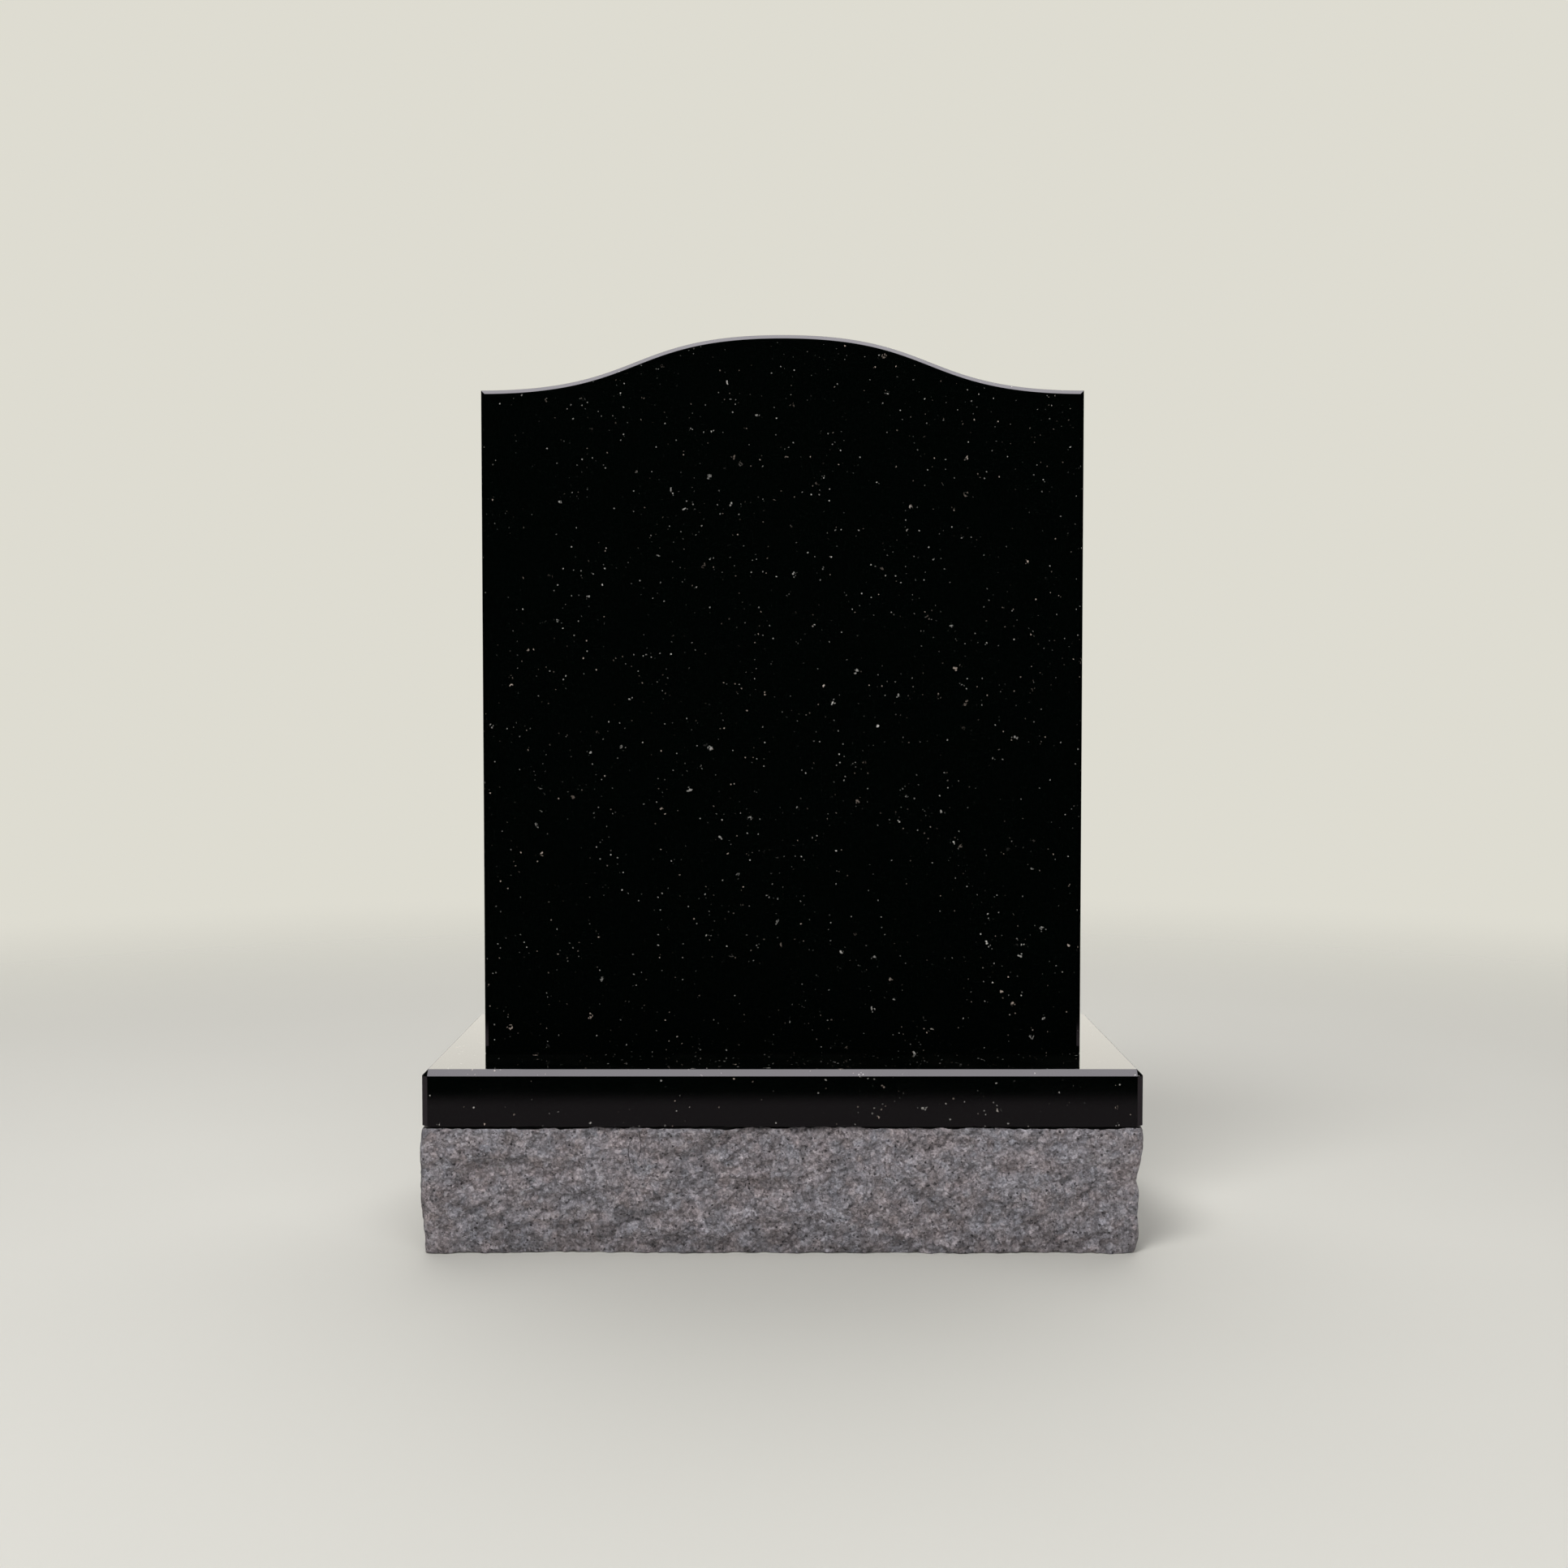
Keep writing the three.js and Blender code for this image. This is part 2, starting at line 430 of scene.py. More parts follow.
class ArcCrack(Effect):
    """A fine crack that runs along a part of a circle on the front."""

    title = "arc crack"
    takes = {
        SocketKind.PLACE: ("Place", "Centre", "Middle"),
        SocketKind.NUMBER: ("Radius", "Width", "Reach"),
    }
    gives = ("Mask",)
    wobble_scale: float = 0.3
    wobble_mm: float = 2.4
    solid_core: float = 0.2
    whole_length: float = 0.6
    front_mm: float = -120.0

    def wire(self, wiring: Wiring, given: Outputs) -> Feeds:
        """Near the circle, and near the middle of the crack, with a slight wobble.

        Args:
            wiring: The group's nodes.
            given: The group's inputs.

        Returns:
            The group's output.
        """
        shaken = wiring.bent(given["Place"], self.wobble_scale, 2.0, self.wobble_mm)
        flat = wiring.vector_sum("MULTIPLY", shaken, (1.0, 0.0, 1.0))
        away = wiring.measure("DISTANCE", flat, given["Centre"])
        gap = wiring.sum("ABSOLUTE", wiring.sum("SUBTRACT", away, given["Radius"]))
        core = wiring.product(given["Width"], self.solid_core)
        line = wiring.ramp(gap, core, given["Width"], 1.0, 0.0)
        gone = wiring.measure("DISTANCE", flat, given["Middle"])
        whole = wiring.product(given["Reach"], self.whole_length)
        length = wiring.ramp(gone, whole, given["Reach"], 1.0, 0.0)
        front = wiring.sum("LESS_THAN", wiring.axes(given["Place"])["Y"], self.front_mm)
        return {"Mask": wiring.product(line, length, front)}


class Dust(Effect):
    """A thin film on what faces up, thicker in some places than others."""

    title = "settled dust"
    takes = {SocketKind.PLACE: ("Place",), SocketKind.NUMBER: ("Amount", "Size")}
    gives = ("Mask",)

    def wire(self, wiring: Wiring, given: Outputs) -> Feeds:
        """The share of the surface that faces up, broken by soft patches.

        Args:
            wiring: The group's nodes.
            given: The group's inputs.

        Returns:
            The group's output.
        """
        facing = wiring.axes(wiring.node("ShaderNodeNewGeometry").outputs["Normal"])
        level = wiring.ramp(facing["Z"], start=0.2, end=0.95)
        spot = {name: given[name] for name in ("Place", "Size")}
        patches = CLOUDS.place(wiring, Detail=3.0, Start=0.35, End=0.7, **spot)
        return {"Mask": wiring.product(level, patches["Mask"], given["Amount"])}


CLOUDS = Clouds()
CRYSTALS = Crystals()
WISPS = Wisps()
MOSAIC = Mosaic()
ARC_CRACK = ArcCrack()
DUST = Dust()


@dataclass(frozen=True)
class StoneFinish:
    """What every finish shares.

    Args:
        title: The material's name.
        shift_mm: Moves the grain, so that two blocks of one granite aren't cut from one place.
    """

    title: str
    shift_mm: Place = (0.0, 0.0, 0.0)

    def material(self) -> bpy.types.Material:
        """Makes the material, with nothing on it read from the camera.

        Returns:
            The finished material.
        """
        material = bpy.data.materials.new(self.title)
        material.use_nodes = True
        wiring = Wiring(material.node_tree)
        place = wiring.scaled(wiring.node("ShaderNodeTexCoord").outputs["Object"], 1 / MM)
        feeds = self.wire(wiring, wiring.vector_sum("ADD", place, self.shift_mm))
        shader = wiring.node("ShaderNodeBsdfPrincipled", feeds)
        wiring.node("ShaderNodeOutputMaterial", {"Surface": shader.outputs[0]})
        return material

    def wire(self, wiring: Wiring, place: Socket) -> Feeds:
        """What goes into the shader. Each finish has its own."""
        raise NotImplementedError


@dataclass(frozen=True)
class Flecks:
    """One kind of fleck in black granite.

    Args:
        spacing_mm: The mean distance of two possible flecks inside the block.
        radius_mm: Their mean radius.
        share: How many of the possible ones there are, from 0 to 1.
        fade: The higher it is, the more of them are dim.
        broken: The higher it is, the fewer bits are left of each. None is broken at 0.
        warm_above: The share of them that is pale. The rest is tan.
        ragged: How much their outlines are bent.
        gather: How much they gather in patches. At 0 they are spread evenly.
    """

    spacing_mm: float
    radius_mm: float
    share: float
    fade: float
    broken: float
    warm_above: float
    ragged: float = 2.6
    gather: float = 0.7


@dataclass(frozen=True)
class PolishedBlackGranite(StoneFinish):
    """Near-black granite, polished to a mirror, with sparse pale flecks.

    Args:
        ground: The black between the flecks.
        dim_crystal: The slightly lighter crystals that show only from close by.
        pale_fleck: The brightest of the small flecks.
        tan_fleck: The colour of the warm ones.
        dust: The colour of what has settled on it.
        faintest: How much the dimmest flecks show.
        index: The refractive index, which sets how much the polish reflects.
        polish: The roughness of the polish, and the roughness where it has been rubbed.
        flecks: The kinds of flecks in it.
    """

    ground: Colour = (0.0004, 0.0010, 0.0007)
    dim_crystal: Colour = (0.0025, 0.0032, 0.0029)
    pale_fleck: Colour = (0.63, 0.61, 0.575)
    tan_fleck: Colour = (0.52, 0.43, 0.37)
    dust: Colour = (0.4, 0.38, 0.34)
    faintest: float = 0.03
    index: float = 1.62
    polish: Span = (0.04, 0.064)
    flecks: tuple[Flecks, ...] = (
        Flecks(5.0, 0.57, share=0.62, fade=1.6, broken=0.0, warm_above=0.6),
        Flecks(15.0, 2.15, share=0.38, fade=1.4, broken=0.55, warm_above=0.55),
        Flecks(24.0, 1.8, share=0.42, fade=1.3, broken=0.44, warm_above=0.35),
    )

    def wire(self, wiring: Wiring, place: Socket) -> Feeds:
        """Flecks over black, under an even polish.

        Args:
            wiring: The material's nodes.
            place: Each point's place in the block.

        Returns:
            What goes into the shader.
        """
        crystals = CLOUDS.place(wiring, Place=place, Size=1.6, Detail=2.0, Start=0.5, End=0.72)
        colour = wiring.blend(crystals["Mask"], self.ground, self.dim_crystal)
        patches = CLOUDS.place(wiring, Place=place, Size=34.0, Detail=1.0, Start=0.34, End=0.66)
        for kind in self.flecks:
            low, high = kind.share * (1 - kind.gather), kind.share * (1 + kind.gather)
            grains = CRYSTALS.place(
                wiring,
                Place=place,
                Spacing=kind.spacing_mm,
                Radius=kind.radius_mm,
                Share=wiring.between(patches["Mask"], low, high),
                Ragged=kind.ragged,
                Broken=kind.broken,
            )
            warm = wiring.ramp(grains["Tint"], start=kind.warm_above, end=kind.warm_above + 0.15)
            fleck = wiring.blend(warm, self.pale_fleck, self.tan_fleck)
            strength = wiring.sum("POWER", grains["Shade"], kind.fade)
            shown = wiring.product(grains["Mask"], wiring.sum("MAXIMUM", strength, self.faintest))
            colour = wiring.blend(shown, colour, fleck)
        dust = DUST.place(wiring, Place=place, Amount=0.006, Size=60.0)
        rubbed = CLOUDS.place(wiring, Place=place, Size=85.0, Detail=3.0, Start=0.3, End=0.75)
        return {
            "Base Color": wiring.blend(dust["Mask"], colour, self.dust),
            "Roughness": wiring.between(rubbed["Mask"], *self.polish),
            "IOR": self.index,
        }


@dataclass(frozen=True)
class Crack:
    """A curved crack on the front, as three points across and up, in millimetres.

    Args:
        start: Its upper end.
        middle: A point half way.
        end: Its lower end.
        width_mm: How wide it shows.
    """

    start: Spot
    middle: Spot
    end: Spot
    width_mm: float = 0.8

    def circle(self) -> tuple[Place, float]:
        """Finds the circle through its three points.

        Returns:
            The circle's centre and its radius.
        """
        (ax, az), (bx, bz), (cx, cz) = self.start, self.middle, self.end
        turn = 2 * (ax * (bz - cz) + bx * (cz - az) + cx * (az - bz))
        a, b, c = ax * ax + az * az, bx * bx + bz * bz, cx * cx + cz * cz
        x = (a * (bz - cz) + b * (cz - az) + c * (az - bz)) / turn
        z = (a * (cx - bx) + b * (ax - cx) + c * (bx - ax)) / turn
        return (x, 0.0, z), hypot(ax - x, az - z)

    def mask(self, wiring: Wiring, place: Socket) -> Socket:
        """Places the crack in a material.

        Args:
            wiring: The material's nodes.
            place: Each point's place in the block.

        Returns:
            1 on the crack and 0 off it.
        """
        centre, radius = self.circle()
        middle = (self.middle[0], 0.0, self.middle[1])
        reach = hypot(self.start[0] - self.end[0], self.start[1] - self.end[1]) / 2
        arc = {"Centre": centre, "Radius": radius, "Middle": middle, "Reach": reach}
        return ARC_CRACK.place(wiring, Place=place, Width=self.width_mm, **arc)["Mask"]


@dataclass(frozen=True)
class RockPitchedGranite(StoneFinish):
    """Grey granite broken with a chisel: speckled, dull and splintery.

    Args:
        feldspar: The mid grey that most of the stone has.
        quartz: The lighter, bluish grains.
        mica_and_crevice_shade: The near-black of the mica specks, and of the painted shade in the
            gaps and cracks.
        dust: What has settled on it.
        warm_drift: What the warmer patches are multiplied by.
        cool_drift: What the cooler patches are multiplied by.
        drift_shares: How much the patches and the single chips count in that drift.
        contrasts: How much the shade changes from chip to chip, grain to grain and wisp to wisp.
        leans: How steeply the broad chips and the small grains lean.
        foot_shade_wave_mm: How much the height of the painted shade toward the foot changes from
            place to place.
        gap_shade: How dark the painted shade in the gaps between the chips is.
        crack_shade: How dark the painted shade in the cracks is.
        dark_depth_mm: How deep the dark spots lie.
        cracks: The two cracks that bound a loose flake on the front.
    """

    feldspar: Colour = (0.322, 0.301, 0.322)
    quartz: Colour = (0.46, 0.46, 0.49)
    mica_and_crevice_shade: Colour = (0.05, 0.046, 0.05)
    dust: Colour = (0.42, 0.4, 0.38)
    warm_drift: Colour = (1.06, 0.985, 0.955)
    cool_drift: Colour = (0.945, 0.995, 1.035)
    drift_shares: Span = (0.55, 0.45)
    contrasts: tuple[float, float, float] = (0.27, 0.72, 0.22)
    leans: Span = (0.82, 1.1)
    foot_shade_wave_mm: float = 30.0
    gap_shade: float = 0.38
    crack_shade: float = 0.85
    dark_depth_mm: float = 0.5
    cracks: tuple[Crack, ...] = (
        Crack((-144.0, 117.0), (-149.2, 101.0), (-145.0, 84.0)),
        Crack((-139.0, 119.0), (-137.4, 108.0), (-145.0, 85.0)),
    )

    def wire(self, wiring: Wiring, place: Socket) -> Feeds:
        """Chips, grains, specks and drifts of colour, painted shade toward the foot and in the gaps
        and cracks, with a bump from the same chips.

        Args:
            wiring: The material's nodes.
            place: Each point's place in the block.

        Returns:
            What goes into the shader.
        """
        chips = MOSAIC.place(wiring, Place=place, Size=7.5, Warp=6.0)
        grains = MOSAIC.place(wiring, Place=place, Size=2.5, Warp=3.6)
        level, fine = (
            wiring.sum("MULTIPLY_ADD", layer["Shade"], contrast, 1 - contrast / 2)
            for layer, contrast in zip((chips, grains), self.contrasts)
        )
        wide = CLOUDS.place(wiring, Place=place, Size=17.0, Detail=3.0, Start=0.34, End=0.68)
        broad = wiring.between(wide["Mask"], low=0.86, high=1.13)
        # Painted shade: the colour darkens toward the foot, below a wavy height.
        wave = wiring.product(wide["Height"], self.foot_shade_wave_mm)
        wavy = wiring.sum("ADD", wiring.axes(place)["Z"], wave)
        foot_shade = wiring.ramp(wavy, start=15.0, end=60.0, low=0.84)
        wisps = WISPS.place(wiring, Place=place, Size=5.5)["Mask"]
        wispy = wiring.between(wisps, 1 - self.contrasts[2], 1 + self.contrasts[2])
        shade = wiring.product(level, fine, wiring.product(broad, foot_shade), wispy)
        colour = wiring.scaled(self.feldspar, shade)
        look = {"Spacing": 6.0, "Radius": 1.7, "Ragged": 2.2, "Broken": 0.0}
        pale = CRYSTALS.place(wiring, Place=place, Share=0.35, **look)
        strength = wiring.between(pale["Shade"], low=0.1, high=0.6)
        colour = wiring.blend(wiring.product(pale["Mask"], strength), colour, self.quartz)
        drift = CLOUDS.place(wiring, Place=place, Size=30.0, Detail=4.0, Start=0.38, End=0.62)
        drifts = zip((drift["Mask"], chips["Tint"]), self.drift_shares)
        coolness = wiring.sum("ADD", *(wiring.product(part, share) for part, share in drifts))
        tint = wiring.blend(coolness, self.warm_drift, self.cool_drift)
        colour = wiring.blend(1.0, colour, tint, "MULTIPLY")
        clumps = CLOUDS.place(wiring, Place=place, Size=14.0, Detail=2.0, Start=0.35, End=0.65)
        crowd = wiring.between(clumps["Mask"], low=0.25, high=0.95)
        look = {"Spacing": 3.8, "Radius": 1.15, "Ragged": 2.4, "Broken": 0.0}
        specks = CRYSTALS.place(wiring, Place=place, Share=crowd, **look)
        strength = wiring.between(specks["Shade"], low=0.4, high=0.98)
        specks_and_shade = wiring.product(specks["Mask"], strength)
        # Painted shade: the gaps round the chips and the two cracks are darkened toward near-black,
        # over the real mica specks.
        others = [(chips["Edge"], self.gap_shade)]
        others += [(crack.mask(wiring, place), self.crack_shade) for crack in self.cracks]
        for mask, depth in others:
            specks_and_shade = wiring.sum("MAXIMUM", specks_and_shade, wiring.product(mask, depth))
        colour = wiring.blend(specks_and_shade, colour, self.mica_and_crevice_shade)
        dust = DUST.place(wiring, Place=place, Amount=0.25, Size=25.0)
        layers = zip((chips, grains), self.leans)
        lean = wiring.sum("ADD", *(wiring.product(layer["Lean"], by) for layer, by in layers))
        height = wiring.sum("SUBTRACT", lean, wiring.product(specks_and_shade, self.dark_depth_mm))
        relief = {"Strength": 1.0, "Distance": MM, "Height": height}
        return {
            "Base Color": wiring.blend(dust["Mask"], colour, self.dust),
            "Roughness": wiring.between(pale["Mask"], low=0.92, high=0.68),
            "Normal": wiring.node("ShaderNodeBump", relief).outputs[0],
        }


@dataclass(frozen=True)
class PaintedJointShade(StoneFinish):
    """Near-black on the faces of the joint raked back under the slab's edge: painted shade there.

    Args:
        dark: Its darkest colour.
        paler_spots: The paler colour of the spots in the painted shade.
    """

    dark: Colour = (0.006, 0.006, 0.006)
    paler_spots: Colour = (0.02, 0.019, 0.019)

    def wire(self, wiring: Wiring, place: Socket) -> Feeds:
        """Dull black painted shade, with paler spots.

        Args:
            wiring: The material's nodes.
            place: Each point's place in the block.

        Returns:
            What goes into the shader.
        """
        # Painted shade under the slab: near-black with paler spots.
        dust = CLOUDS.place(wiring, Place=place, Size=4.0, Detail=2.0, Start=0.4, End=0.7)["Mask"]
        return {
            "Base Color": wiring.blend(dust, self.dark, self.paler_spots),
            "Roughness": wiring.between(dust, low=0.6, high=0.9),
        }


def lattice_value(i: np.ndarray, j: np.ndarray, k: np.ndarray, seed: int) -> np.ndarray:
    """A repeatable random number from 0 to 1 for each lattice point, the same as the solid uses.

    Args:
        i: The first index of each point.
        j: The second.
        k: The third.
        seed: Which set of numbers.

    Returns:
        One number for each point.
    """
    word = np.uint32
    whole = [np.asarray(n, np.int64).astype(word) for n in (i, j, k)]
    with np.errstate(over="ignore"):
        a, b, c = (n * word(key) for n, key in zip(whole, LATTICE_KEYS))
        h = a ^ b ^ c
        h = (h ^ word(seed) * word(SEED_KEY) ^ (h >> word(13))) * word(STIR_KEYS[0])
        h = (h ^ (h >> word(15))) * word(STIR_KEYS[1])
        return (h ^ (h >> word(16))).astype(float) / 2.0**32


def eased(share: np.ndarray) -> np.ndarray:
    """A share from 0 to 1, eased at both ends."""
    return share * share * (3 - 2 * share)


def rising(value: np.ndarray, start: float, over: float) -> np.ndarray:
    """Rises from 0 to 1 in a straight line from a start, over a distance."""
    return np.clip((value - start) / over, 0, 1)


class Relief:
    """Something that makes a broken face stand out or in."""

    def relief(self, at: Points) -> np.ndarray:
        """How far the stone stands out. Each form has its own."""
        raise NotImplementedError


@dataclass(frozen=True)
class Lumps(Relief):
    """Smooth lumps on broken stone.

    Args:
        size_mm: How far apart they are.
        height_mm: How far they stand out or in.
        seed: Which random set.
    """

    size_mm: float
    height_mm: float
    seed: int

    def relief(self, at: Points) -> np.ndarray:
        """How far the stone stands out.

        Args:
            at: Where each point is across, back and up, in millimetres.

        Returns:
            One distance for each point, in millimetres.
        """
        spots = [np.asarray(n, float) / self.size_mm for n in np.broadcast_arrays(*at)]
        corner = [np.floor(n) for n in spots]
        share = [eased(n - c) for n, c in zip(spots, corner)]
        total = np.zeros_like(spots[0])
        for steps in product((0, 1), repeat=3):
            weight = 1.0
            for step, part in zip(steps, share):
                weight = weight * (part if step else 1 - part)
            key = [c + step for c, step in zip(corner, steps)]
            total += weight * lattice_value(*key, self.seed)
        return self.height_mm * (2 * total - 1)


@dataclass(frozen=True)
class Crease(Relief):
    """A step across the front, where one split ended on the next, with the lower side set back.

    Args:
        start: Its left end across and up, in millimetres.
        end: Its right end.
        drop_mm: How far the lower side is set back right under it.
        fade_mm: How far from it the surface is even again.
        taper: The share of its length over which each end fades out.
        blunt: How strong it still is right at its ends.
        lip: The height and the reach of the upper side's lip, as shares of the lower side's.
    """

    start: Spot
    end: Spot
    drop_mm: float = 1.8
    fade_mm: float = 14.0
    taper: float = 0.3
    blunt: float = 0.4
    lip: Span = (0.3, 0.5)

    def relief(self, at: Points) -> np.ndarray:
        """How far the stone stands out.

        Args:
            at: Where each point is across, back and up, in millimetres.

        Returns:
            One distance for each point, in millimetres.
        """
        x, _, z = at
        run, climb = self.end[0] - self.start[0], self.end[1] - self.start[1]
        length = hypot(run, climb)
        along = ((x - self.start[0]) * run + (z - self.start[1]) * climb) / length
        below = ((x - self.start[0]) * climb - (z - self.start[1]) * run) / length
        inside = np.minimum(along, length - along) / (self.taper * length)
        under = -self.drop_mm * np.exp(-np.maximum(below, 0) / self.fade_mm)
        over = np.exp(np.minimum(below, 0) / (self.lip[1] * self.fade_mm))
        step = np.where(below > 0, under, self.lip[0] * self.drop_mm * over)
        return eased(np.clip(inside + self.blunt, 0, 1)) * step


@dataclass(frozen=True)
class Hollow(Relief):
    """A small pit in the front.

    Args:
        centre: Its middle across and up, in millimetres.
        radius_mm: How far it reaches.
        depth_mm: How deep it is.
    """

    centre: Spot
    radius_mm: float
    depth_mm: float

    def relief(self, at: Points) -> np.ndarray:
        """How far the stone stands out at each point, in millimetres."""
        away = ((at[0] - self.centre[0]) ** 2 + (at[2] - self.centre[1]) ** 2) / self.radius_mm**2
        return -self.depth_mm * np.exp(-away)


@dataclass(frozen=True)
class Facets(Relief):
    """Flat splits with ridges between them, each with a lean and an offset of its own.

    Args:
        length_mm: One facet's length along the stone.
        height_mm: Its height.
        slope: Its steepest lean.
        offset_mm: How far facets stand before or behind each other.
        lean: How far their edges climb to the right for each millimetre up.
        sharpness: How narrow the ridges are.
        seed: Which random set.
    """

    length_mm: float
    height_mm: float
    slope: float
    offset_mm: float
    lean: float
    sharpness: float
    seed: int

    def relief(self, at: Points) -> np.ndarray:
        """How far the stone stands out.

        Args:
            at: Where each point is across, back and up, in millimetres.

        Returns:
            One distance for each point, in millimetres.
        """
        x, y, z = at
        sizes = (self.length_mm, self.length_mm, self.height_mm)
        spots = [(x - self.lean * z) / sizes[0], (y - self.lean * z) / sizes[1], z / sizes[2]]
        cell = [np.floor(n) for n in spots]
        total = np.zeros_like(spots[0])
        weights = np.zeros_like(spots[0])
        for steps in product((-1, 0, 1), repeat=3):
            key = [c + step for c, step in zip(cell, steps)]
            away = [spots[n] - key[n] - lattice_value(*key, self.seed + n) for n in range(3)]
            leans = [2 * lattice_value(*key, self.seed + 3 + n) - 1 for n in range(3)]
            offset = self.offset_mm * (2 * lattice_value(*key, self.seed + 6) - 1)
            rise = sum(size * lean * gone for size, lean, gone in zip(sizes, leans, away))
            weight = np.exp(-self.sharpness * np.sqrt(sum(gone * gone for gone in away)))
            total += weight * (offset + self.slope * rise)
            weights += weight
        return total / weights


def show_smooth(mesh: bpy.types.Mesh, crisp_over: float) -> None:
    """Shades a stone smoothly between its crisp edges.

    Args:
        mesh: The stone's mesh.
        crisp_over: Edges that turn by more than this many degrees stay crisp.
    """
    mesh.polygons.foreach_set("use_smooth", [True] * len(mesh.polygons))
    mesh.set_sharp_from_angle(angle=radians(crisp_over))


def stone_object(name: str, corners: list, faces: list, crisp_over: float) -> bpy.types.Object:
    """Makes a mesh object in the shared frame.

    Args:
        name: The piece's name.
        corners: Its points, in metres.
        faces: Its faces, as indices of points.
        crisp_over: Edges that turn by more than this many degrees stay crisp.

    Returns:
        The object, linked to the scene.
    """
    mesh = bpy.data.meshes.new(name)
    mesh.from_pydata(corners, [], faces)
    show_smooth(mesh, crisp_over)
    mesh.update()
    return linked(name, mesh)


def ease_edges(piece: bpy.types.Object, width: float) -> None:
    """Rubs the crisp edges of a polished stone down by a hair, as a polishing pad does.

    Args:
        piece: The stone.
        width: How wide the eased edge is.
    """
    form = bmesh.new()
    form.from_mesh(piece.data)
    least = radians(EASED_OVER)
    shared = [edge for edge in form.edges if len(edge.link_faces) == 2]
    edges = [edge for edge in shared if edge.calc_face_angle() > least]
    shape = {"offset_type": "WIDTH", "segments": 2, "profile": 0.5, "affect": "EDGES"}
    bmesh.ops.bevel(form, geom=edges, offset=width, **shape)
    form.to_mesh(piece.data)
    form.free()
    show_smooth(piece.data, CRISP_OVER)


def settle(piece: bpy.types.Object, node: str, finish: StoneFinish) -> None:
    """Dresses a stone and puts it in the place of its solid.

    Args:
        piece: The stone.
        node: The solid that it stands for.
        finish: What its surface is like.
    """
    piece.data.materials.append(finish.material())
    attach(piece, "root")
    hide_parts(node)
    LOG.info("%s: %d faces", piece.name, len(piece.data.polygons))


@dataclass
class SerpentineTablet:
    """The upright tablet: a serpentine outline with an arris round its front and its back.

    Args:
        width: Across the shoulders.
        thickness: From face to face.
        shoulder: How high the shoulders are above the foot.
        rise: From the shoulders to the crown.
        shoulder_sweep: How long the curve stays level at a shoulder.
        crown_sweep: The same at the crown.
        arris: The chamfer round both faces.
        rubbed: How far the polish has rubbed the edges down.
        steps: Straight steps in each half of the curve.
        finish: The stone.
    """

    width: float = 0.603
    thickness: float = 0.170
    shoulder: float = 0.667
    rise: float = 0.055
    shoulder_sweep: float = 0.163
    crown_sweep: float = 0.157
    arris: float = 0.004
    rubbed: float = 0.0004
    steps: int = 90
    finish: StoneFinish = PolishedBlackGranite("polished_black_tablet")

    def outline(self) -> np.ndarray:
        """Draws the front outline from the right foot over the crown to the left foot.

        Returns:
            Its points, in X and Z.
        """
        half = self.width / 2
        crown = self.shoulder + self.rise
        across = (half, half - self.shoulder_sweep, self.crown_sweep, 0)
        pulls = np.stack([across, (self.shoulder, self.shoulder, crown, crown)], 1)
        t = np.linspace(0, 1, self.steps + 1)[:, None]
        weights = np.hstack([(1 - t) ** 3, 3 * (1 - t) ** 2 * t, 3 * (1 - t) * t**2, t**3])
        curve = weights @ pulls
        other = curve[-2::-1] * [-1, 1]
        return np.vstack([[half, 0], curve, other, [-half, 0]])

    def inset(self, outline: np.ndarray, depth: float) -> np.ndarray:
        """The outline drawn in by a depth, mitred at its corners, with its foot left on the slab.

        Args:
            outline: Points in order, the stone on their left.
            depth: How far to draw in.

        Returns:
            The drawn-in points.
        """
        along = np.diff(outline, axis=0)
        inward = np.stack([-along[:, 1], along[:, 0]], 1) / np.linalg.norm(along, axis=1)[:, None]
        before = np.vstack([inward[:1], inward])
        after = np.vstack([inward, inward[-1:]])
        mitre = (before + after) / (1 + (before * after).sum(1))[:, None]
        return outline + depth * mitre

    def build(self, foot: float) -> None:
        """Makes the tablet.

        Args:
            foot: The height that it stands at.
        """
        outline = self.outline()
        half, cut = self.thickness / 2, self.arris
        section = ((cut, -half), (0.0, cut - half), (0.0, half - cut), (cut, half))
        corners = []
        for depth, y in section:
            corners.extend((x, y, foot + z) for x, z in self.inset(outline, depth))
        count = len(outline)
        last = (len(section) - 1) * count
        faces = [
            (start + i, start + count + i, start + count + i + 1, start + i + 1)
            for start in range(0, last, count)
            for i in range(count - 1)
        ]
        right_feet = list(range(0, last + 1, count))
        left_feet = [corner + count - 1 for corner in right_feet]
        faces.append(tuple(range(count)))
        faces.append(tuple(range(last + count - 1, last - 1, -1)))
        faces.append(tuple(left_feet + right_feet[::-1]))
        piece = stone_object("tablet", corners, faces, CRISP_OVER)
        ease_edges(piece, self.rubbed)
        settle(piece, "serpentine_tablet", self.finish)


